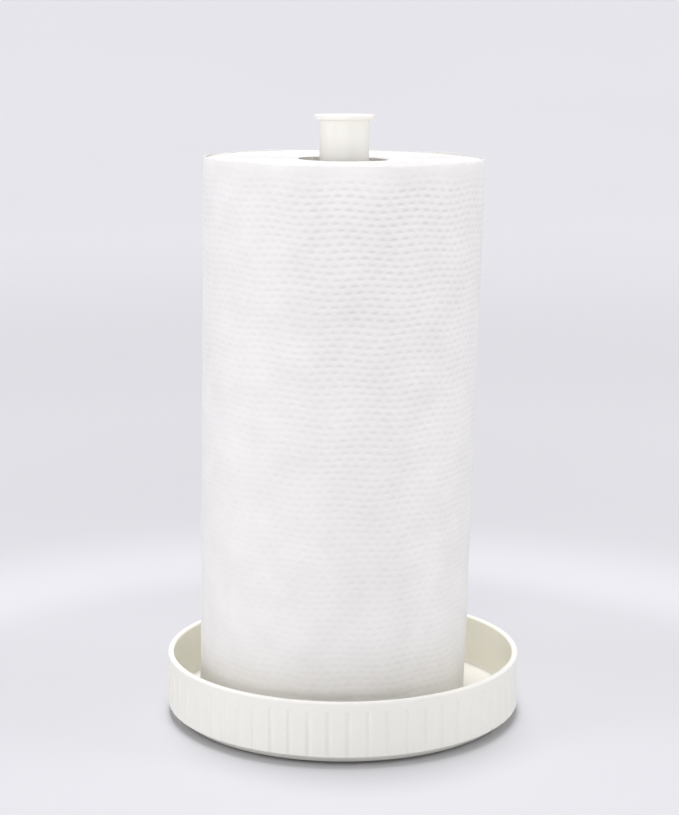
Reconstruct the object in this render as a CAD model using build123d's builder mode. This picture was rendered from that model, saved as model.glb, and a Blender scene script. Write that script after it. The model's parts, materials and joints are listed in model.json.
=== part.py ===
"""Free-standing paper towel holder: a fluted round tray with a post, holding a leaning paper roll.

Millimetres. +Z is up, -Y is the front, and the origin is on the table, on the post's axis.
"""
from build123d import *
from math import cos, radians, sin
import os

# ---------------------------------------------------------------- heights above the table
UNDERSIDE_Z = 1.2  # the tray and its base plate stand this far off the table, on the feet
CHAMFER_TOP_Z = 5.2  # where the slanted foot edge meets the fluted wall
FLOOR_Z = 6.0  # top of the tray's floor
FLUTE_TOP_Z = 27.6
RIM_Z = 32.5
POST_TOP_Z = 303.6
CAP_TOP_Z = 306.0

# ---------------------------------------------------------------- tray
TRAY_R = 90.5
TRAY_WALL = 3.0
TRAY_INNER_R = TRAY_R - TRAY_WALL
TRAY_FOOT_R = 85.3  # foot of the slanted edge
FLOOR_THICK = 1.6
RIM_ROUND = 1.3
INNER_CORNER_ROUND = 2.0
FOOT_RING_INNER_R = 77.0
FLUTE_COUNT = 60
FLUTE_START_DEG = 1.7  # the first groove, counted from +X
FLUTE_WIDTH = 3.0
FLUTE_DEPTH = 0.6
FLUTE_EDGE_ROUND = 0.5
FLUTE_CORE_R = 89.2  # the smooth wall behind the fluted band

# ---------------------------------------------------------------- hub in the middle of the tray
HUB_R = 16.5
HUB_TOP_Z = 10.0
HUB_SEAT_R = 12.5
HUB_SEAT_Z = 9.0
HUB_POCKET_R = 8.0  # opening under the hub, for the post screw's head
HUB_POCKET_TOP_Z = 6.2

# ---------------------------------------------------------------- base plate, ballast and feet
BASE_PLATE_R = 79.8
BASE_PLATE_RECESS_R = 80.0
BASE_PLATE_THICK = 1.4
BASE_PLATE_TOP_Z = UNDERSIDE_Z + BASE_PLATE_THICK
BALLAST_R = 76.5
BALLAST_HOLE_R = 17.3
BALLAST_THICK = 1.6
BALLAST_GAP = 0.1  # above the base plate, and again below the tray's floor
FOOT_COUNT = 4
FOOT_R = 6.0
FOOT_RING_R = 66.0
FOOT_RECESS_R = 6.2
FOOT_RECESS_DEPTH = 0.4
FOOT_EDGE = 0.3

# ---------------------------------------------------------------- post
POST_R = 12.3
POST_BORE_R = 10.2
PLUG_FLANGE_THICK = 1.2
PLUG_HEIGHT = 18.0
PLUG_HOLE_R = 1.65
PLUG_LEAD_IN = 0.8
CAP_R = 15.05
CAP_EDGE_ROUND = 0.6
CAP_SPIGOT_LENGTH = 12.0
CAP_SPIGOT_WALL = 1.8

# ---------------------------------------------------------------- fasteners
WASHER_R = 7.0
WASHER_THICK = 0.8
POST_SCREW_R = 2.0
POST_SCREW_CLEARANCE_R = 2.3
POST_SCREW_LENGTH = 20.0
POST_SCREW_HEAD_R = 4.0
POST_SCREW_HEAD_HEIGHT = 2.6
POST_SCREW_HEAD_ROUND = 1.2
BASE_SCREW_COUNT = 3
BASE_SCREW_RING_R = 12.25
BASE_SCREW_R = 1.25
BASE_SCREW_HEAD_R = 2.5
BASE_SCREW_HEAD_HEIGHT = 1.1
BASE_SCREW_LENGTH = 6.0
BASE_SCREW_PILOT_R = 1.0
BASE_SCREW_PILOT_DEPTH = 5.0
BASE_SCREW_HOLE_R = 1.5
DRIVE_SLOT_WIDTH = 0.9
DRIVE_SLOT_PER_HEAD = 1.15  # length of each arm of the cross, for one head radius
DRIVE_SLOT_DEPTH = 1.3

# ---------------------------------------------------------------- paper roll, leaning towards +X
ROLL_R = 69.6
ROLL_HEIGHT = 278.0
ROLL_LEAN_DEG = 1.0
ROLL_FOOT_X = -5.4  # the core is much wider than the post, so the roll stands off the axis
ROLL_GAP = 0.3  # between the roll's lowest edge and the floor, and between core and paper
CORE_BORE_R = 22.3
CORE_WALL = 1.0
CORE_R = CORE_BORE_R + CORE_WALL
CORE_INSET = 1.5  # the core ends this far inside each face of the roll
PAPER_BORE_R = CORE_R + ROLL_GAP

roll_lean = radians(ROLL_LEAN_DEG)
roll_foot_z = FLOOR_Z + ROLL_GAP + ROLL_R * sin(roll_lean)
roll_axis = Vector(sin(roll_lean), 0, cos(roll_lean))
roll_foot = Plane(
    origin=(ROLL_FOOT_X, 0, roll_foot_z),
    x_dir=(cos(roll_lean), 0, -sin(roll_lean)),
    z_dir=roll_axis,
)
core_foot = roll_foot.offset(CORE_INSET)

plug_foot_z = HUB_SEAT_Z
tube_foot_z = plug_foot_z + PLUG_FLANGE_THICK
washer_z = HUB_POCKET_TOP_Z - WASHER_THICK
ballast_z = BASE_PLATE_TOP_Z + BALLAST_GAP


def cross_drive(head_radius):
    """A cross-shaped driver recess as a sketch in the current plane."""
    length = DRIVE_SLOT_PER_HEAD * head_radius
    Rectangle(length, DRIVE_SLOT_WIDTH)
    Rectangle(DRIVE_SLOT_WIDTH, length)


# ---------------------------------------------------------------- tray
with BuildPart() as tray:
    with BuildSketch(Plane.XZ):
        with BuildLine():
            Polyline(
                (POST_SCREW_CLEARANCE_R, HUB_SEAT_Z),
                (HUB_SEAT_R, HUB_SEAT_Z),
                (HUB_SEAT_R, HUB_TOP_Z),
                (HUB_R, HUB_TOP_Z),
                (HUB_R, FLOOR_Z),
                (TRAY_INNER_R, FLOOR_Z),
                (TRAY_INNER_R, RIM_Z),
                (TRAY_R, RIM_Z),
                (TRAY_R, FLUTE_TOP_Z),
                (FLUTE_CORE_R, FLUTE_TOP_Z),
                (FLUTE_CORE_R, CHAMFER_TOP_Z),
                (TRAY_R, CHAMFER_TOP_Z),
                (TRAY_FOOT_R, UNDERSIDE_Z),
                (BASE_PLATE_RECESS_R, UNDERSIDE_Z),
                (BASE_PLATE_RECESS_R, BASE_PLATE_TOP_Z),
                (FOOT_RING_INNER_R, BASE_PLATE_TOP_Z),
                (FOOT_RING_INNER_R, FLOOR_Z - FLOOR_THICK),
                (HUB_R, FLOOR_Z - FLOOR_THICK),
                (HUB_R, BASE_PLATE_TOP_Z),
                (HUB_POCKET_R, BASE_PLATE_TOP_Z),
                (HUB_POCKET_R, HUB_POCKET_TOP_Z),
                (POST_SCREW_CLEARANCE_R, HUB_POCKET_TOP_Z),
                close=True,
            )
        make_face()
    revolve(axis=Axis.Z)
    rim_edges = tray.edges().filter_by(GeomType.CIRCLE).group_by(Axis.Z)[-1]
    fillet(rim_edges, RIM_ROUND)
    floor_edges = tray.edges().filter_by(GeomType.CIRCLE).filter_by_position(
        Axis.Z, FLOOR_Z, FLOOR_Z
    )
    fillet(floor_edges.sort_by(SortBy.RADIUS)[-1], INNER_CORNER_ROUND)
    # the fluted band: shallow arcs between flat ribs, with their edges eased
    cutter_r = ((FLUTE_WIDTH / 2) ** 2 + FLUTE_DEPTH**2) / (2 * FLUTE_DEPTH)
    cutter_ring_r = TRAY_R - FLUTE_DEPTH + cutter_r
    with BuildSketch(Plane.XY.offset(CHAMFER_TOP_Z)) as band:
        Circle(TRAY_R)
        with PolarLocations(cutter_ring_r, FLUTE_COUNT, start_angle=FLUTE_START_DEG):
            Circle(cutter_r, mode=Mode.SUBTRACT)
        fillet(band.vertices(), FLUTE_EDGE_ROUND)
        Circle(FLUTE_CORE_R, mode=Mode.SUBTRACT)
    extrude(amount=FLUTE_TOP_Z - CHAMFER_TOP_Z)
    with BuildSketch(Plane.XY.offset(BASE_PLATE_TOP_Z)):
        with PolarLocations(BASE_SCREW_RING_R, BASE_SCREW_COUNT):
            Circle(BASE_SCREW_PILOT_R)
    extrude(amount=BASE_SCREW_PILOT_DEPTH, mode=Mode.SUBTRACT)

# ---------------------------------------------------------------- base plate
with BuildPart() as base_plate:
    with BuildSketch(Plane.XY.offset(UNDERSIDE_Z)):
        Circle(BASE_PLATE_R)
        Circle(HUB_POCKET_R, mode=Mode.SUBTRACT)
    extrude(amount=BASE_PLATE_THICK)
    with BuildSketch(Plane.XY.offset(UNDERSIDE_Z)):
        with PolarLocations(FOOT_RING_R, FOOT_COUNT):
            Circle(FOOT_RECESS_R)
    extrude(amount=FOOT_RECESS_DEPTH, mode=Mode.SUBTRACT)
    with Locations(Plane.XY.offset(UNDERSIDE_Z).rotated((180, 0, 0))):
        with PolarLocations(BASE_SCREW_RING_R, BASE_SCREW_COUNT):
            CounterSinkHole(BASE_SCREW_HOLE_R, BASE_SCREW_HEAD_R + 0.1, BASE_PLATE_THICK)

# ---------------------------------------------------------------- ballast plate
with BuildPart() as ballast_plate:
    with BuildSketch(Plane.XY.offset(ballast_z)):
        Circle(BALLAST_R)
        Circle(BALLAST_HOLE_R, mode=Mode.SUBTRACT)
    extrude(amount=BALLAST_THICK)

# ---------------------------------------------------------------- non-slip feet
with BuildPart() as non_slip_feet:
    with BuildSketch():
        with PolarLocations(FOOT_RING_R, FOOT_COUNT):
            Circle(FOOT_R)
    extrude(amount=UNDERSIDE_Z + FOOT_RECESS_DEPTH)
    fillet(non_slip_feet.edges().group_by(Axis.Z)[0], FOOT_EDGE)

# ---------------------------------------------------------------- base screws
with BuildPart() as base_screws:
    with BuildSketch(Plane.XZ):
        with BuildLine():
            Polyline(
                (BASE_SCREW_RING_R, UNDERSIDE_Z),
                (BASE_SCREW_RING_R + BASE_SCREW_HEAD_R, UNDERSIDE_Z),
                (BASE_SCREW_RING_R + BASE_SCREW_R, UNDERSIDE_Z + BASE_SCREW_HEAD_HEIGHT),
                (BASE_SCREW_RING_R + BASE_SCREW_R, UNDERSIDE_Z + BASE_SCREW_LENGTH - BASE_SCREW_R),
                (BASE_SCREW_RING_R, UNDERSIDE_Z + BASE_SCREW_LENGTH),
                close=True,
            )
        make_face()
    revolve(axis=Axis((BASE_SCREW_RING_R, 0, 0), (0, 0, 1)))
    with BuildSketch(Plane.XY.offset(UNDERSIDE_Z)):
        with Locations((BASE_SCREW_RING_R, 0)):
            cross_drive(BASE_SCREW_HEAD_R)
    extrude(amount=BASE_SCREW_HEAD_HEIGHT, mode=Mode.SUBTRACT)
    first_screw = base_screws.part
    for k in range(1, BASE_SCREW_COUNT):
        add(first_screw.rotate(Axis.Z, k * 360 / BASE_SCREW_COUNT))

# ---------------------------------------------------------------- post plug
with BuildPart() as post_plug:
    with BuildSketch(Plane.XY.offset(plug_foot_z)):
        Circle(POST_R)
    extrude(amount=PLUG_FLANGE_THICK)
    with BuildSketch(Plane.XY.offset(tube_foot_z)):
        Circle(POST_BORE_R)
    extrude(amount=PLUG_HEIGHT)
    chamfer(post_plug.edges().group_by(Axis.Z)[-1], PLUG_LEAD_IN)
    with Locations(Plane.XY.offset(tube_foot_z + PLUG_HEIGHT)):
        Hole(PLUG_HOLE_R)

# ---------------------------------------------------------------- post tube
with BuildPart() as post_tube:
    with BuildSketch(Plane.XY.offset(tube_foot_z)):
        Circle(POST_R)
        Circle(POST_BORE_R, mode=Mode.SUBTRACT)
    extrude(amount=POST_TOP_Z - tube_foot_z)

# ---------------------------------------------------------------- post cap
with BuildPart() as post_cap:
    with BuildSketch(Plane.XY.offset(POST_TOP_Z)):
        Circle(CAP_R)
    extrude(amount=CAP_TOP_Z - POST_TOP_Z)
    fillet(post_cap.edges().group_by(Axis.Z)[-1], CAP_EDGE_ROUND)
    fillet(post_cap.edges().group_by(Axis.Z)[0], CAP_EDGE_ROUND)
    with BuildSketch(Plane.XY.offset(POST_TOP_Z)):
        Circle(POST_BORE_R)
        Circle(POST_BORE_R - CAP_SPIGOT_WALL, mode=Mode.SUBTRACT)
    extrude(amount=-CAP_SPIGOT_LENGTH)

# ---------------------------------------------------------------- post washer
with BuildPart() as post_washer:
    with BuildSketch(Plane.XY.offset(washer_z)):
        Circle(WASHER_R)
        Circle(POST_SCREW_CLEARANCE_R, mode=Mode.SUBTRACT)
    extrude(amount=WASHER_THICK)

# ---------------------------------------------------------------- post screw
with BuildPart() as post_screw:
    with BuildSketch(Plane.XY.offset(washer_z)):
        Circle(POST_SCREW_HEAD_R)
    extrude(amount=-POST_SCREW_HEAD_HEIGHT)
    fillet(post_screw.edges().group_by(Axis.Z)[0], POST_SCREW_HEAD_ROUND)
    with BuildSketch(Plane.XY.offset(washer_z)):
        Circle(POST_SCREW_R)
    extrude(amount=POST_SCREW_LENGTH)
    chamfer(post_screw.edges().group_by(Axis.Z)[-1], POST_SCREW_R / 2)
    with BuildSketch(Plane.XY.offset(washer_z - POST_SCREW_HEAD_HEIGHT)):
        cross_drive(POST_SCREW_HEAD_R)
    extrude(amount=DRIVE_SLOT_DEPTH, mode=Mode.SUBTRACT)

# ---------------------------------------------------------------- cardboard core
with BuildPart() as core_tube:
    with BuildSketch(core_foot):
        Circle(CORE_R)
        Circle(CORE_BORE_R, mode=Mode.SUBTRACT)
    extrude(amount=ROLL_HEIGHT - 2 * CORE_INSET)

# ---------------------------------------------------------------- paper roll
with BuildPart() as paper_roll:
    with BuildSketch(roll_foot):
        Circle(ROLL_R)
        Circle(PAPER_BORE_R, mode=Mode.SUBTRACT)
    extrude(amount=ROLL_HEIGHT)

# ---------------------------------------------------------------- export
os.makedirs("parts", exist_ok=True)
pieces = {
    "tray": tray,
    "base_plate": base_plate,
    "ballast_plate": ballast_plate,
    "non_slip_feet": non_slip_feet,
    "base_screws": base_screws,
    "post_plug": post_plug,
    "post_tube": post_tube,
    "post_cap": post_cap,
    "post_washer": post_washer,
    "post_screw": post_screw,
    "core_tube": core_tube,
    "paper_roll": paper_roll,
}
for name, piece in pieces.items():
    piece.part.label = name
    export_step(piece.part, f"parts/{name}.step")
print("roll foot", tuple(roll_foot.origin), "roll axis", tuple(roll_axis))
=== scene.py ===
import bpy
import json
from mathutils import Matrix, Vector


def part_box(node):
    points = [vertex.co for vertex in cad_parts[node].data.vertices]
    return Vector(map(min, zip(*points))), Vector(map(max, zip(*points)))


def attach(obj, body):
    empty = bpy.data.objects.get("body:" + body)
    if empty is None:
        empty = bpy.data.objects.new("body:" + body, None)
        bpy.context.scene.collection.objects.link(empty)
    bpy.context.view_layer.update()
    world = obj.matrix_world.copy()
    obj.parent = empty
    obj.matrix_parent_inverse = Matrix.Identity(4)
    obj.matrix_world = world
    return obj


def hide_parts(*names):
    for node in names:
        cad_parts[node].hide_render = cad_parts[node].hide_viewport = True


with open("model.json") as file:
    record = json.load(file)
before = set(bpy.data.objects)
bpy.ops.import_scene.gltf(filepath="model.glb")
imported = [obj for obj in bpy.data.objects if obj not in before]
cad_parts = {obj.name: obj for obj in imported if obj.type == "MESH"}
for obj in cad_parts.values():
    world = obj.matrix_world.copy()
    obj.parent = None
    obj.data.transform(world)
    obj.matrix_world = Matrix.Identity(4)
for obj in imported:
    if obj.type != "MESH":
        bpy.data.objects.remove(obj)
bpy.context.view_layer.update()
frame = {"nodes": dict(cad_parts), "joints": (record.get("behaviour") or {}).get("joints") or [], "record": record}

"""The looks of a white paper towel holder with an embossed paper roll. Lengths are in metres.

The plastic, steel and rubber pieces are the frame's own shapes with better materials.
The paper roll and its cardboard core are built here, in the roll's own leaning frame:
s is arc length round the roll from the paper's loose end, h is height above the roll's foot.
"""
import json
import math

import bpy
import numpy as np
from mathutils import Matrix, Vector

# ---------------------------------------------------------------- camera
LENS_MM = 86.3
SENSOR_MM = 36.0
CAMERA_PLACE = (0.0, -0.9773, 0.3395)
CAMERA_PITCH = 0.1832  # downwards, in radians
CAMERA_YAW = -0.0021
CAMERA_ROLL = 0.0026

# ---------------------------------------------------------------- paper roll
STEP_ROUND = 0.00075  # spacing of the embossed wrap's mesh round the roll
STEP_UP = 0.0005  # and up it
COARSE = 4  # the wrap's inner side has one cell for this many
SHEET_THICK = 0.00035
LAYER = 0.00055  # how much the wound roll grows with each turn
WRAP_OVERLAP = 0.018
FREE_EDGE_DEG = 150.0  # where the loose end lies, from the front towards +X
FLAP = 0.016  # length of the loose end that stands off the roll
FLAP_LIFT = 0.00035
SHEET_LENGTH = 0.279  # from one perforation to the next
PERFORATION_WIDTH = 0.0007
DOT_PITCH = 0.0056
ROW_PITCH = 0.0032
DIMPLE_HALF_WIDTH = 0.46  # of the pitch
DIMPLE_HALF_HEIGHT = 0.33
DIMPLE_DEPTH = 0.0004
ROW_WAVE = 0.0006  # how far the rows of dimples rise and fall
COLUMN_WAVE = 0.0007  # and their columns sway
FAINTEST = 0.55  # of the deepest dimple, for the one that is pressed least
EMBOSS_BORDER = 0.010  # the embossing fades out this near the roll's ends
PAINTED_LIGHT_OFFSET = 0.00045  # the painted shade sits this far above a dimple's middle, and the painted highlight this far below it
CRISPEST = 0.45  # where the embossing and its painted shade and highlight are crispest, in radians from the front towards +X
PAINTED_CREASE_SHADE = 0.8  # how far the painted shade above a dimple takes the paper's colour from its light tone to its dark one
PAINTED_LIP_HIGHLIGHT = 0.5  # how strong the painted highlight on a dimple's lower lip is, as a share of the painted shade above it
PERFORATION_DEPTH = 0.00018
WRAP_SWELL = 0.00012  # slow swells of the wrap,
WRAP_RIPPLE = 0.00004  # and fine ripples
TOP_WAVE = 0.00032  # slow waves of the wrap's top edge,
TOP_RIPPLE = 0.00012  # and fine ones
FOOT_WAVE = 0.0002
EDGE_RAGGED = 0.00022  # raggedness of the torn loose end
EDGE_TUCK = 0.0009  # how far the wrap's top edge turns in,
EDGE_TUCK_HEIGHT = 0.0035  # over about this height
FOOT_TAPER = 0.0009  # the roll is wound tighter at its foot than the CAD's radius,
TOP_FLARE = 0.0006  # and looser at its top
SIDE_DRIFT = 0.0009  # how far the turns wander towards +X from foot to top
TOP_CUT_X = 0.0105  # slope of the roll's top face towards +X, where the cut isn't square
TOP_CUT_FRONT = 0.005  # and towards the front
TOP_CUT_DROP = 0.0006  # the face's middle is this far below the CAD's top
RNG_SEED = 7


def roll_frame():
    """The leaning roll's place as a matrix, with its axis, radius and height, from the frame."""
    spin = next(joint for joint in frame["joints"] if joint["name"] == "roll_spin")
    axis = Vector(spin["axis"]).normalized()
    across = Vector((0, 1, 0)).cross(axis)
    low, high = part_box("paper_roll")
    radius = (high.y - low.y) / 2
    height = ((high.z - low.z) - 2 * radius * math.hypot(axis.x, axis.y)) / axis.z
    place = Matrix((across, Vector((0, 1, 0)), axis)).transposed().to_4x4()
    place.translation = Vector(spin["pos_m"])
    return place, axis, radius, height


ROLL_PLACE, ROLL_AXIS, ROLL_R, ROLL_H = roll_frame()


# ---------------------------------------------------------------- smooth random curves
def wave_noise(rng, x, y, wavelength, count=14):
    """A smooth random field of about unit size: sines in random directions, near one wavelength."""
    total = np.zeros(np.broadcast(x, y).shape)
    for _ in range(count):
        angle = rng.uniform(0, 2 * math.pi)
        number = 2 * math.pi / (wavelength * rng.uniform(0.7, 1.5))
        phase = rng.uniform(0, 2 * math.pi)
        total += np.sin(number * (x * math.cos(angle) + y * math.sin(angle)) + phase)
    return total / math.sqrt(count)


def ring_noise(rng, theta, lowest, highest):
    """A smooth random closed curve of about unit size, with whole numbers of waves round the ring."""
    total = np.zeros_like(theta)
    for waves in range(lowest, highest):
        total += np.sin(waves * theta + rng.uniform(0, 2 * math.pi)) * rng.uniform(0.4, 1.0)
    return total / math.sqrt(highest - lowest)


# ---------------------------------------------------------------- mesh helpers
def add_mesh(name, points, faces, place=None, pressed=None):
    """A smooth-shaded mesh object from arrays of points and faces, sharp only at real corners."""
    mesh = bpy.data.meshes.new(name)
    mesh.from_pydata([tuple(p) for p in points], [], faces)
    # the 'pressed' values hold painted shade and painted highlight for the material's colour
    if pressed is not None:
        mesh.attributes.new("pressed", "FLOAT", "POINT").data.foreach_set("value", pressed.ravel())
    if place is not None:
        mesh.transform(place)
    mesh.validate()
    mesh.shade_smooth()
    mesh.set_sharp_from_angle(angle=math.radians(50))
    piece = bpy.data.objects.new(name, mesh)
    bpy.context.scene.collection.objects.link(piece)
    return piece


def grid_faces(columns, rows, start=0, flip=False):
    """Quads of a grid whose points are stored row after row within each column."""
    faces = []
    for i in range(columns - 1):
        base = start + i * rows
        for j in range(rows - 1):
            a, b = base + j, base + rows + j
            quad = (a, b, b + 1, a + 1)
            faces.append(quad[::-1] if flip else quad)
    return faces


def ring_faces(columns, rows):
    """Quads of a grid closed both ways, as on a ring."""
    faces = []
    for i in range(columns):
        base, following = i * rows, (i + 1) % columns * rows
        for j in range(rows):
            k = (j + 1) % rows
            faces.append((base + j, base + k, following + k, following + j))
    return faces


# ---------------------------------------------------------------- embossed outer wrap
def roll_angle(s):
    """Angle from the front towards +X at arc length s from the wrap's loose end."""
    return math.radians(FREE_EDGE_DEG) - s / ROLL_R


def embossing(s, h):
    """How far the paper is pressed in, from 0 to 1: staggered lens-shaped dimples in wavy rows."""
    row_phase = 2 * math.pi * s / 0.037 + 1.3 * np.sin(2 * math.pi * h / 0.068)
    column_phase = 2 * math.pi * h / 0.043 + 0.9 * np.sin(2 * math.pi * s / 0.083)
    row = (h + ROW_WAVE * np.sin(row_phase)) / ROW_PITCH
    column = (s + COLUMN_WAVE * np.sin(column_phase)) / DOT_PITCH
    column = column + 0.5 * np.round(row)
    across = (column - np.round(column)) / DIMPLE_HALF_WIDTH
    up = (row - np.round(row)) / DIMPLE_HALF_HEIGHT
    # one number from 0 to 1 for each dimple, scattered but the same in every run
    chance = np.abs(np.sin(12.9898 * np.round(column) + 78.233 * np.round(row))) * 43758.5453
    chance = np.modf(chance)[0]
    return (FAINTEST + (1 - FAINTEST) * chance) * np.clip(1 - across**2 - up**2, 0.0, 1.0)


def emboss_strength(s, h):
    """The embossing is crispest high on the front, and ironed flat along both ends of the roll."""
    # for the paper's painted shade and painted highlight this strength also stands in for the light: they are
    # strongest high up and round the angle CRISPEST
    crisp = 0.3 + 0.7 * np.clip((h / ROLL_H - 0.25) / 0.65, 0, 1)
    around = 0.3 + 0.7 * np.cos(roll_angle(s) - CRISPEST) ** 2
    border = np.clip(np.minimum(h, ROLL_H - h) / EMBOSS_BORDER - 0.3, 0.1, 1)
    return crisp * around * border


def dimples(s, h):
    """Depth of the embossing."""
    return DIMPLE_DEPTH * emboss_strength(s, h) * embossing(s, h)


def outline(theta, h):
    """How far the roll stands out from the CAD's cylinder: a slight flare and drift to its top."""
    share = h / ROLL_H
    flare = -FOOT_TAPER + (TOP_FLARE + FOOT_TAPER) * share
    return flare + SIDE_DRIFT * (share - 0.4) * np.sin(theta)


def top_cut(radius, theta):
    """How far the roll's top face stands above or below a square cut."""
    return radius * (TOP_CUT_X * np.sin(theta) - TOP_CUT_FRONT * np.cos(theta)) - TOP_CUT_DROP


def wrap_points(s, h, rng):
    """Radius and angle of the wrap's outer side, at arc length s from its loose end and height h."""
    turn = 2 * math.pi * ROLL_R
    theta = roll_angle(s)
    radius = ROLL_R - LAYER * s / turn + outline(theta, h)
    flap = np.clip(1 - s / FLAP, 0, 1)
    curl = 1 + 0.35 * np.sin(2 * math.pi * h / 0.19 + 0.8)
    radius = radius + FLAP_LIFT * flap**1.6 * curl
    radius = radius - dimples(s, h)
    radius = radius + WRAP_SWELL * wave_noise(rng, s, h, 0.055)
    radius = radius + WRAP_RIPPLE * wave_noise(rng, s, h, 0.009)
    perforation = np.exp(-((s - SHEET_LENGTH) ** 2) / (2 * (PERFORATION_WIDTH / 2) ** 2))
    radius = radius - PERFORATION_DEPTH * perforation
    radius = radius - EDGE_TUCK * np.exp((h - ROLL_H) / EDGE_TUCK_HEIGHT)
    return radius, theta


def on_roll(radius, theta, height):
    """Points at that radius, angle from the front towards +X, and height, in the roll's frame."""
    return np.stack([radius * np.sin(theta), -radius * np.cos(theta), height], -1)


def make_wrap():
    """The roll's outermost turn: a closed sheet, embossed on its outer side, plain on its inner."""
    turn = 2 * math.pi * ROLL_R
    columns = COARSE * round((turn + WRAP_OVERLAP) / STEP_ROUND / COARSE) + 1
    rows = COARSE * round(ROLL_H / STEP_UP / COARSE) + 1
    rng = np.random.default_rng(RNG_SEED)
    s = np.linspace(0, turn + WRAP_OVERLAP, columns)
    top = TOP_WAVE * wave_noise(rng, s, 0 * s, 0.034) + TOP_RIPPLE * wave_noise(rng, s, 0 * s, 0.006)
    foot = FOOT_WAVE * np.abs(wave_noise(rng, s, 0 * s, 0.017))
    share = np.linspace(0, 1, rows)
    top = top + top_cut(ROLL_R, roll_angle(s))
    height = foot[:, None] + (ROLL_H + top - foot)[:, None] * share[None, :]
    arc = np.repeat(s[:, None], rows, axis=1)
    ragged = rng.uniform(-1, 1, rows)
    arc[0] += EDGE_RAGGED * ragged
    radius, theta = wrap_points(arc, height, rng)
    outer = on_roll(radius, theta, height).reshape(-1, 3)

    coarse_radius = (radius + dimples(arc, height))[::COARSE, ::COARSE]
    coarse_theta, coarse_height = theta[::COARSE, ::COARSE], height[::COARSE, ::COARSE]
    inner = on_roll(coarse_radius - SHEET_THICK, coarse_theta, coarse_height)
    inner_columns, inner_rows = inner.shape[:2]
    inner = inner.reshape(-1, 3)
    # painted light for the paper's colour, kept in the mesh's 'pressed' values: painted shade just above each
    # dimple's middle, less a painted highlight on its lower lip
    lip = embossing(arc, height + PAINTED_LIGHT_OFFSET)
    painted_shade_and_highlight = embossing(arc, height - PAINTED_LIGHT_OFFSET) - PAINTED_LIP_HIGHLIGHT * lip
    painted_shade_and_highlight = emboss_strength(arc, height) * painted_shade_and_highlight
    pressed = np.concatenate([painted_shade_and_highlight.ravel(), np.zeros(len(inner))])

    faces = grid_faces(columns, rows, flip=True)
    faces += grid_faces(inner_columns, inner_rows, start=len(outer))
    fine = lambda i, j: i * rows + j
    coarse = lambda i, j: len(outer) + i * inner_rows + j
    for i in range(inner_columns - 1):
        spans = [COARSE * i + k for k in range(COARSE + 1)]
        low = [fine(k, 0) for k in spans]
        high = [fine(k, rows - 1) for k in spans]
        faces.append([coarse(i + 1, 0), coarse(i, 0)] + low)
        faces.append([coarse(i, inner_rows - 1), coarse(i + 1, inner_rows - 1)] + high[::-1])
    for j in range(inner_rows - 1):
        spans = [COARSE * j + k for k in range(COARSE + 1)]
        first = [fine(0, k) for k in spans]
        last = [fine(columns - 1, k) for k in spans]
        faces.append([coarse(0, j), coarse(0, j + 1)] + first[::-1])
        faces.append([coarse(inner_columns - 1, j + 1), coarse(inner_columns - 1, j)] + last)
    return add_mesh("towel_wrap", np.vstack([outer, inner]), faces, ROLL_PLACE, pressed)


# ---------------------------------------------------------------- wound body of the roll
BODY_COLUMNS = 360
BODY_GAP = 0.0001  # kept clear of the wrap and of the core
TURN_PROFILE = ((0.0, 0.0003), (0.32, 0.0), (0.68, 0.0))  # share of a turn, and depth of its groove
OUTER_DROP = 0.0005  # the outermost turn ends this much below the others
FOOT_DEPTH = 0.00045  # of the lower face in the CAD's roll,
TOP_DEPTH = 0.0006  # and of the upper face
TURN_WOBBLE = 0.00010  # unevenness of the turns' edges: slow waves,
TURN_RIPPLE = 0.00007  # fine waves,
TURN_LEVEL = 0.00010  # and from one turn to the next
TURN_DRIFT = 0.00012  # how far the turns are out of round
WALL_ROWS = 8  # rows of points between the two end faces


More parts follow.
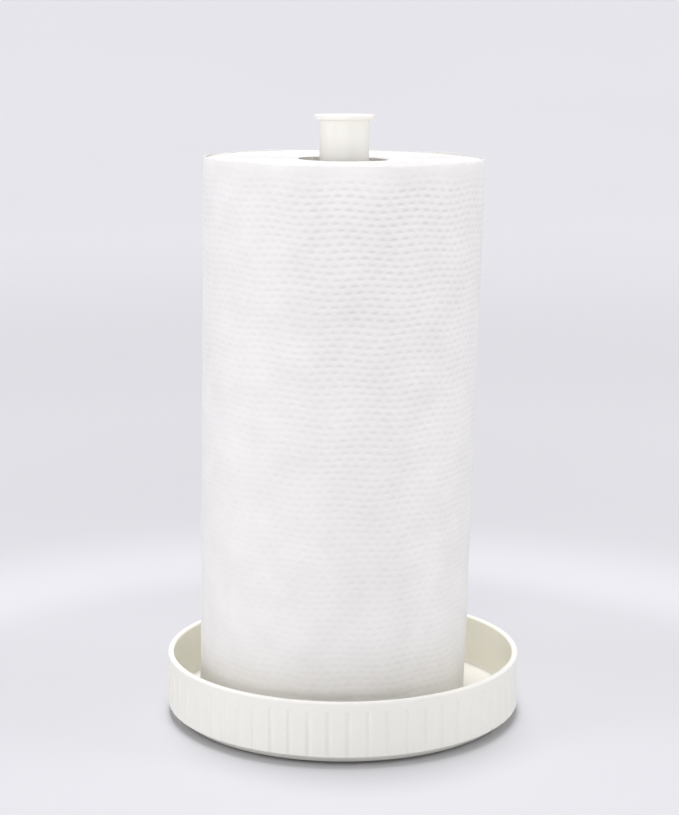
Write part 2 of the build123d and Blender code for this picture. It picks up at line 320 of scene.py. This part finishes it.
def make_wound_body():
    """The turns under the wrap: a closed ring whose two end faces show the edge of each turn."""
    rng = np.random.default_rng(RNG_SEED + 1)
    low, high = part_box("core_tube")
    bore = (high.y - low.y) / 2 + BODY_GAP
    outer = ROLL_R - 2 * LAYER - BODY_GAP
    turns = int((outer - bore) / LAYER)
    pitch = (outer - bore) / turns
    theta = np.linspace(0, 2 * math.pi, BODY_COLUMNS, endpoint=False)
    profile_r, profile_z, profile_turn = [], [], []
    for k in range(turns):
        for share, drop in TURN_PROFILE:
            profile_r.append(bore + (k + share) * pitch)
            profile_z.append(drop)
            profile_turn.append(k)
    profile_r.append(outer)
    profile_z.append(OUTER_DROP)
    profile_turn.append(turns - 1)
    profile_r, profile_z = np.array(profile_r), np.array(profile_z)
    profile_turn = np.array(profile_turn)

    def end_face(depth):
        """How far each point of an end face is below the square cut."""
        wobble = np.stack([ring_noise(rng, theta, 2, 9) for _ in range(turns)])
        ripple = np.stack([ring_noise(rng, theta, 12, 40) for _ in range(turns)])
        level = rng.normal(0, 1, turns)
        drop = profile_z[:, None] + depth
        drop = drop + TURN_WOBBLE * wobble[profile_turn] + TURN_RIPPLE * ripple[profile_turn]
        drop = drop + TURN_LEVEL * level[profile_turn][:, None]
        return np.maximum(drop, 0.0)

    drift = TURN_DRIFT * ring_noise(rng, theta, 2, 7)[None, :]
    swell = ((profile_r - bore) / (outer - bore))[:, None]
    radii = profile_r[:, None] + drift * np.sin(math.pi * swell)
    bottom = np.stack([radii, end_face(FOOT_DEPTH)], -1)
    top_level = ROLL_H + top_cut(radii, theta) - end_face(TOP_DEPTH)
    bottom[..., 0] += outline(theta, 0.0) * swell
    top = np.stack([radii + outline(theta, ROLL_H) * swell, top_level], -1)[::-1]
    walls = np.linspace(0, 1, WALL_ROWS + 2)[1:-1, None, None]
    outside = bottom[-1] + (top[0] - bottom[-1]) * walls
    inside = top[-1] + (bottom[0] - top[-1]) * walls
    loop = np.vstack([bottom, outside, top, inside])
    rows = len(loop)
    loop = loop.transpose(1, 0, 2)
    points = on_roll(loop[..., 0], np.repeat(theta[:, None], rows, axis=1), loop[..., 1])
    return add_mesh("towel_turns", points.reshape(-1, 3), ring_faces(BODY_COLUMNS, rows), ROLL_PLACE)


# ---------------------------------------------------------------- cardboard core
CORE_WALL = 0.001
CORE_COLUMNS = 120
CORE_ROWS = 90
CORE_SEAM_PITCH = 0.105
CORE_SEAM_WIDTH = 0.0011
CORE_SEAM_DEPTH = 0.00022
CORE_FRAY = 0.00008


def make_core():
    """A spiral-wound cardboard tube: the seam between its plies runs as a helix along both sides."""
    rng = np.random.default_rng(RNG_SEED + 2)
    low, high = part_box("core_tube")
    outer = (high.y - low.y) / 2
    lean = math.hypot(ROLL_AXIS.x, ROLL_AXIS.y)
    length = (high.z - low.z) - 2 * outer * lean
    inset = (ROLL_H - length) / 2
    bore = outer - CORE_WALL
    seam = np.array([0.0, 0.25, 0.5, 0.75]) * CORE_SEAM_WIDTH / outer
    rest = np.linspace(CORE_SEAM_WIDTH / outer, 2 * math.pi, CORE_COLUMNS, endpoint=False)
    start = np.concatenate([seam, rest])
    pressed = np.zeros(len(start))
    pressed[1:4] = (0.6, 1.0, 0.6)
    height = inset + length * np.linspace(0, 1, CORE_ROWS)
    twist = 2 * math.pi * (height - inset) / CORE_SEAM_PITCH
    columns = []
    for angle, press in zip(start, pressed):
        theta = angle + twist
        outside = on_roll(np.full_like(theta, outer - CORE_SEAM_DEPTH * press), theta, height)
        inside = on_roll(np.full_like(theta, bore + CORE_SEAM_DEPTH * press), theta, height)[::-1]
        fray = CORE_FRAY * rng.normal(size=2)
        top = on_roll(
            np.array([outer - 0.00035, outer - 0.0007]),
            np.full(2, theta[-1]),
            height[-1] + np.array([0.00010, 0.00002]) + fray[0],
        )
        foot = on_roll(
            np.array([outer - 0.0007, outer - 0.00035]),
            np.full(2, theta[0]),
            height[0] - np.array([0.00002, 0.00010]) + fray[1],
        )
        columns.append(np.vstack([outside, top, inside, foot]))
    points = np.stack(columns)
    rows = points.shape[1]
    faces = [face[::-1] for face in ring_faces(len(start), rows)]
    return add_mesh("core_board_tube", points.reshape(-1, 3), faces, ROLL_PLACE)


# ---------------------------------------------------------------- materials
ZONE_EDGE = 0.0003  # half the width of a zone's soft edge
TRAY_PAINTED_BOUNCE_AND_SHADE = (  # painted light inside the tray: a warmer, lighter wall as painted bounce light and a darker floor as painted shade; radii, heights and colour of its wall and its floor
    ((0.0800, 0.0884), (0.0068, 0.0330), (0.94, 0.92, 0.80)),
    ((0.0180, 0.0884), (0.0050, 0.0068), (0.78, 0.765, 0.69)),
)


class Nodes:
    """A material's node tree, with short calls for the nodes that the materials here share."""

    def __init__(self, name):
        self.material = bpy.data.materials.new(name)
        self.material.use_nodes = True
        self.tree = self.material.node_tree
        self.shader = self.tree.nodes["Principled BSDF"]
        self.place = self.tree.nodes.new("ShaderNodeTexCoord").outputs["Object"]

    def link(self, output, node, socket):
        self.tree.links.new(output, node.inputs[socket])

    def noise(self, size, detail=3.0, stretch=(1, 1, 1)):
        """Noise from 0 to 1 whose features are about that size in metres."""
        mapping = self.tree.nodes.new("ShaderNodeMapping")
        mapping.inputs["Scale"].default_value = [1 / (size * k) for k in stretch]
        self.link(self.place, mapping, "Vector")
        noise = self.tree.nodes.new("ShaderNodeTexNoise")
        noise.inputs["Scale"].default_value = 1.0
        noise.inputs["Detail"].default_value = detail
        self.link(mapping.outputs["Vector"], noise, "Vector")
        return noise.outputs["Fac"]

    def mesh_value(self, name):
        """A value stored at the mesh's points, 0 where the mesh has none."""
        node = self.tree.nodes.new("ShaderNodeAttribute")
        node.attribute_name = name
        return node.outputs["Fac"]

    def span(self, value, low, high, start=0.3, end=0.7):
        """value mapped from start..end to low..high."""
        node = self.tree.nodes.new("ShaderNodeMapRange")
        for socket, number in zip(("From Min", "From Max", "To Min", "To Max"), (start, end, low, high)):
            node.inputs[socket].default_value = number
        self.link(value, node, "Value")
        return node.outputs["Result"]

    def blend(self, factor, dark, light):
        """A colour between dark and light."""
        node = self.tree.nodes.new("ShaderNodeMix")
        node.data_type = "RGBA"
        node.inputs["A"].default_value = (*dark, 1)
        node.inputs["B"].default_value = (*light, 1)
        self.link(factor, node, "Factor")
        return node.outputs["Result"]

    def over(self, factor, under, colour):
        """A colour laid over what another output gives."""
        node = self.tree.nodes.new("ShaderNodeMix")
        node.data_type = "RGBA"
        node.inputs["B"].default_value = (*colour, 1)
        self.link(factor, node, "Factor")
        self.link(under, node, "A")
        return node.outputs["Result"]

    def zone(self, radii, heights):
        """1 between those distances from the axis and those heights, else 0."""
        flat = self.tree.nodes.new("ShaderNodeVectorMath")
        flat.operation = "MULTIPLY"
        flat.inputs[1].default_value = (1, 1, 0)
        self.link(self.place, flat, 0)
        distance = self.tree.nodes.new("ShaderNodeVectorMath")
        distance.operation = "LENGTH"
        self.link(flat.outputs["Vector"], distance, 0)
        height = self.tree.nodes.new("ShaderNodeSeparateXYZ")
        self.link(self.place, height, "Vector")
        sides = []
        for value, (start, end) in ((distance.outputs["Value"], radii), (height.outputs["Z"], heights)):
            sides.append(self.span(value, 0, 1, start - ZONE_EDGE, start + ZONE_EDGE))
            sides.append(self.span(value, 1, 0, end - ZONE_EDGE, end + ZONE_EDGE))
        product = sides[0]
        for side in sides[1:]:
            product = self.times(product, side)
        return product

    def times(self, first, second):
        node = self.tree.nodes.new("ShaderNodeMath")
        node.operation = "MULTIPLY"
        self.link(first, node, 0)
        self.link(second, node, 1)
        return node.outputs["Value"]

    def add(self, first, second, weight):
        """first + weight * second."""
        node = self.tree.nodes.new("ShaderNodeMath")
        node.operation = "MULTIPLY_ADD"
        self.link(second, node, 0)
        node.inputs[1].default_value = weight
        self.link(first, node, 2)
        return node.outputs["Value"]

    def bump(self, height, distance, strength=1.0):
        node = self.tree.nodes.new("ShaderNodeBump")
        node.inputs["Distance"].default_value = distance
        node.inputs["Strength"].default_value = strength
        self.link(height, node, "Height")
        self.link(node.outputs["Normal"], self.shader, "Normal")

    def colour(self, output):
        self.link(output, self.shader, "Base Color")

    def rough(self, output):
        self.link(output, self.shader, "Roughness")

    def set(self, **sockets):
        for name, value in sockets.items():
            self.shader.inputs[name.replace("_", " ")].default_value = value


def plastic(name, dark, light, rough_low, rough_high, grain, painted_light_zones=()):
    """Moulded plastic: faint clouding of its colour, uneven gloss and a fine grain, with painted bounce light and
    painted shade laid over the colour in each given zone.
    """
    nodes = Nodes(name)
    colour = nodes.blend(nodes.noise(0.03), dark, light)
    # each zone lays painted light over the plastic's colour: painted bounce light on the tray's inner wall,
    # painted shade on its floor
    for radii, heights, painted_tint in painted_light_zones:
        colour = nodes.over(nodes.zone(radii, heights), colour, painted_tint)
    nodes.colour(colour)
    nodes.rough(nodes.span(nodes.noise(0.012, 5.0), rough_low, rough_high))
    nodes.bump(nodes.noise(grain, 2.0), grain * 0.03)
    nodes.set(IOR=1.5, Subsurface_Weight=0.12, Subsurface_Scale=0.002)
    nodes.set(Subsurface_Radius=(1.0, 0.9, 0.7))
    return nodes.material


def steel(name, dark, light, size):
    """Zinc-plated steel: a patchy bluish grey with fine rolling lines."""
    nodes = Nodes(name)
    nodes.colour(nodes.blend(nodes.noise(size), dark, light))
    nodes.rough(nodes.span(nodes.noise(size / 3, 4.0), 0.28, 0.5))
    nodes.bump(nodes.noise(size / 8, 3.0, (1, 12, 1)), size * 0.002)
    nodes.set(Metallic=1.0)
    return nodes.material


def rubber():
    """Dull black rubber, speckled with dust."""
    nodes = Nodes("foot_rubber")
    dust = nodes.noise(0.0012, 6.0)
    nodes.colour(nodes.blend(dust, (0.018, 0.018, 0.018), (0.07, 0.068, 0.064)))
    nodes.rough(nodes.span(nodes.noise(0.002), 0.75, 0.95))
    nodes.bump(nodes.noise(0.0006), 0.00006)
    return nodes.material


def paper(name, dark, light):
    """Soft matt tissue paper: a warm white with faint fibres, with painted shade above each dimple and a painted
    highlight on its lower lip.
    """
    nodes = Nodes(name)
    fibres = nodes.noise(0.0006, 6.0, (1, 1, 2.4))
    clouds = nodes.noise(0.02, 3.0)
    mottle = nodes.span(nodes.add(clouds, fibres, 0.5), 0.6, 0.9, 0.5, 1.0)
    # the mesh's 'pressed' values paint shade above each dimple and a highlight on its lower lip
    tone = nodes.add(mottle, nodes.mesh_value("pressed"), -PAINTED_CREASE_SHADE)
    nodes.colour(nodes.blend(tone, dark, light))
    nodes.rough(nodes.span(fibres, 0.85, 0.98))
    nodes.bump(fibres, 0.00006)
    nodes.set(Sheen_Weight=0.1, Sheen_Roughness=0.6, Specular_IOR_Level=0.15)
    return nodes.material


def cardboard():
    """Pale core board with flecks and long fibres."""
    nodes = Nodes("core_board")
    fibres = nodes.noise(0.0011, 6.0, (1, 1, 3))
    flecks = nodes.span(nodes.noise(0.0007, 2.0), 0, 1, 0.66, 0.74)
    tone = nodes.add(nodes.span(fibres, 0, 1), flecks, -0.45)
    nodes.colour(nodes.blend(tone, (0.70, 0.68, 0.62), (0.83, 0.81, 0.75)))
    nodes.rough(nodes.span(fibres, 0.8, 0.95))
    nodes.bump(fibres, 0.00008)
    return nodes.material


# ---------------------------------------------------------------- the floor and the light
FLOOR_R = 9.0
FLOOR_LEVEL_R = 2.0
FLOOR_RISE = 0.05  # height gained for each metre squared beyond the level part
FLOOR_TONES_AND_PAINTED_SHADOW = (  # distance from the object, and how much light the floor returns there: darker within about 94 mm as a painted contact shadow under the object, and lighter far out, which makes up for the lamps' fall-off
    (0.0, 0.50), (0.088, 0.52), (0.094, 0.585), (0.22, 0.588),
    (0.29, 0.65), (0.42, 0.578), (0.9, 0.605), (2.6, 0.704), (5.0, 0.722)
)
COOL = (0.953, 0.944, 1.0)  # colour of all the light
SUN_STRENGTH = 2.36
SUN_WIDTH_DEG = 12.0
SUN_TILT_DEG = 6.5  # the overhead lamp stands this far behind the object
SUN_SIDE_DEG = 1.0  # and this far to its left
SKY_STRENGTH = 0.42
KICKER_WATTS = 11.0  # a small spot on the end of the post
KICKER_DISTANCE = 1.3
KICKER_RISE_DEG = 9.0
KICKER_R = 0.024  # of the patch of light
KICKER_DROP = 0.019  # from the cap's top to the patch's middle
LIGHTS_AIM = Vector((0, 0, 0.15))
SOFTBOXES = (  # azimuth from the front towards +X, elevation, distance, size, watts
    ("left_softbox", -70, 22, 1.9, (0.9, 0.9), 8.0),
    ("right_softbox", 85, 22, 1.9, (0.9, 0.9), 7.6),
    ("high_front_softbox", -5, 56, 1.9, (0.4, 0.3), 3.0),
    ("low_front_softbox", -5, 5, 2.2, (1.4, 0.3), 7.4),
)


def floor_material():
    """A pale seamless floor whose tone changes softly with the distance from the object, with a painted contact
    shadow right under it and painted light far out that makes up for the lamps' fall-off.
    """
    nodes = Nodes("studio_floor")
    distance = nodes.tree.nodes.new("ShaderNodeVectorMath")
    distance.operation = "LENGTH"
    nodes.link(nodes.place, distance, 0)
    ring = nodes.tree.nodes.new("ShaderNodeValToRGB")
    ring.color_ramp.interpolation = "EASE"
    while len(ring.color_ramp.elements) < len(FLOOR_TONES_AND_PAINTED_SHADOW):
        ring.color_ramp.elements.new(0.5)
    for element, (metres, grey) in zip(ring.color_ramp.elements, FLOOR_TONES_AND_PAINTED_SHADOW):
        element.position = metres / FLOOR_TONES_AND_PAINTED_SHADOW[-1][0]
        element.color = (grey, grey, grey, 1)
    reach = nodes.span(distance.outputs["Value"], 0, 1, 0, FLOOR_TONES_AND_PAINTED_SHADOW[-1][0])
    nodes.link(reach, ring, "Fac")
    nodes.colour(ring.outputs["Color"])
    nodes.rough(nodes.span(nodes.noise(0.6, 1.0), 0.55, 0.65))
    nodes.set(Specular_IOR_Level=0.2)
    return nodes.material


def make_floor():
    """A round floor, level near the object and rising gently far away, so that no horizon shows."""
    mesh = bpy.data.meshes.new("floor")
    sectors = 96
    radii = np.concatenate([np.linspace(0, FLOOR_LEVEL_R, 5), np.linspace(FLOOR_LEVEL_R, FLOOR_R, 25)[1:]])
    theta = np.linspace(0, 2 * math.pi, sectors + 1)
    height = FLOOR_RISE * np.maximum(radii - FLOOR_LEVEL_R, 0) ** 2
    points = [(r * math.cos(a), r * math.sin(a), z) for a in theta for r, z in zip(radii, height)]
    mesh.from_pydata(points, [], grid_faces(sectors + 1, len(radii), flip=True))
    mesh.shade_smooth()
    floor = bpy.data.objects.new("floor", mesh)
    bpy.context.scene.collection.objects.link(floor)
    mesh.materials.append(floor_material())


def area_light(name, place, size, watts):
    lamp = bpy.data.lights.new(name, "AREA")
    lamp.shape = "RECTANGLE"
    lamp.size, lamp.size_y = size
    lamp.energy = watts
    lamp.color = COOL
    light = bpy.data.objects.new(name, lamp)
    light.location = place
    light.rotation_euler = (LIGHTS_AIM - place).to_track_quat("-Z", "Y").to_euler()
    bpy.context.scene.collection.objects.link(light)


def make_light():
    """A broad overhead lamp, four softboxes, a small spot on the end of the post, and an even sky."""
    lamp = bpy.data.lights.new("overhead", "SUN")
    lamp.energy = SUN_STRENGTH
    lamp.angle = math.radians(SUN_WIDTH_DEG)
    lamp.color = COOL
    light = bpy.data.objects.new("overhead", lamp)
    light.rotation_euler = (-math.radians(SUN_TILT_DEG), -math.radians(SUN_SIDE_DEG), 0)
    bpy.context.scene.collection.objects.link(light)
    for name, azimuth, elevation, distance, size, watts in SOFTBOXES:
        a, e = math.radians(azimuth), math.radians(elevation)
        away = Vector((math.sin(a) * math.cos(e), -math.cos(a) * math.cos(e), math.sin(e)))
        area_light(name, away * distance + LIGHTS_AIM, size, watts)
    kicker = bpy.data.lights.new("cap_kicker", "SPOT")
    kicker.energy = KICKER_WATTS
    kicker.color = COOL
    kicker.spot_size = 2 * math.atan(KICKER_R / KICKER_DISTANCE)
    kicker.spot_blend = 1.0
    kicker.shadow_soft_size = 0.03
    light = bpy.data.objects.new("cap_kicker", kicker)
    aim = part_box("post_cap")[1].z - KICKER_DROP
    rise = math.radians(KICKER_RISE_DEG)
    away = Vector((0, -math.cos(rise), math.sin(rise)))
    light.location = away * KICKER_DISTANCE + Vector((0, 0, aim))
    light.rotation_euler = (math.radians(90) - rise, 0, 0)
    bpy.context.scene.collection.objects.link(light)
    world = bpy.data.worlds.new("studio")
    world.use_nodes = True
    sky = world.node_tree.nodes["Background"]
    sky.inputs["Color"].default_value = (*COOL, 1)
    sky.inputs["Strength"].default_value = SKY_STRENGTH
    bpy.context.scene.world = world
    bpy.context.scene.view_settings.view_transform = "Standard"


def make_camera():
    data = bpy.data.cameras.new("camera")
    data.lens = LENS_MM
    data.sensor_width = SENSOR_MM
    data.clip_start = 0.05
    data.clip_end = 100
    camera = bpy.data.objects.new("camera", data)
    bpy.context.scene.collection.objects.link(camera)
    forward = Vector((
        math.sin(CAMERA_YAW) * math.cos(CAMERA_PITCH),
        math.cos(CAMERA_YAW) * math.cos(CAMERA_PITCH),
        -math.sin(CAMERA_PITCH),
    ))
    side = Vector((math.cos(CAMERA_YAW), -math.sin(CAMERA_YAW), 0))
    up = side.cross(forward)
    right = math.cos(CAMERA_ROLL) * side + math.sin(CAMERA_ROLL) * up
    upright = math.cos(CAMERA_ROLL) * up - math.sin(CAMERA_ROLL) * side
    place = Matrix((right, upright, -forward)).transposed().to_4x4()
    place.translation = Vector(CAMERA_PLACE)
    camera.matrix_world = place
    bpy.context.scene.camera = camera


# ---------------------------------------------------------------- putting it together
make_camera()
make_light()
make_floor()

finishes = {
    "warm_white_plastic": plastic(
        "warm_white_plastic", (0.86, 0.85, 0.78), (0.88, 0.87, 0.80), 0.36, 0.48, 0.0004, TRAY_PAINTED_BOUNCE_AND_SHADE
    ),
    "underside_plastic": plastic(
        "underside_plastic", (0.70, 0.69, 0.66), (0.76, 0.75, 0.72), 0.55, 0.7, 0.0008
    ),
    "ballast_steel": steel("ballast_steel", (0.40, 0.41, 0.43), (0.56, 0.57, 0.58), 0.02),
    "screw_steel": steel("screw_steel", (0.52, 0.52, 0.50), (0.70, 0.70, 0.67), 0.004),
    "foot_rubber": rubber(),
    "core_board": cardboard(),
    "towel_paper": paper("towel_paper", (0.70, 0.69, 0.66), (0.925, 0.917, 0.877)),
}
for part in frame["record"]["subparts"]:
    node = frame["nodes"][part["node"]]
    node.data.materials.clear()
    node.data.materials.append(finishes[part["material_slot"]])

wrap = make_wrap()
turns = make_wound_body()
for piece in (wrap, turns):
    piece.data.materials.append(finishes["towel_paper"])
    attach(piece, "roll_paper")
    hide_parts("paper_roll")

core = make_core()
core.data.materials.append(finishes["core_board"])
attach(core, "roll_core")
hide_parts("core_tube")
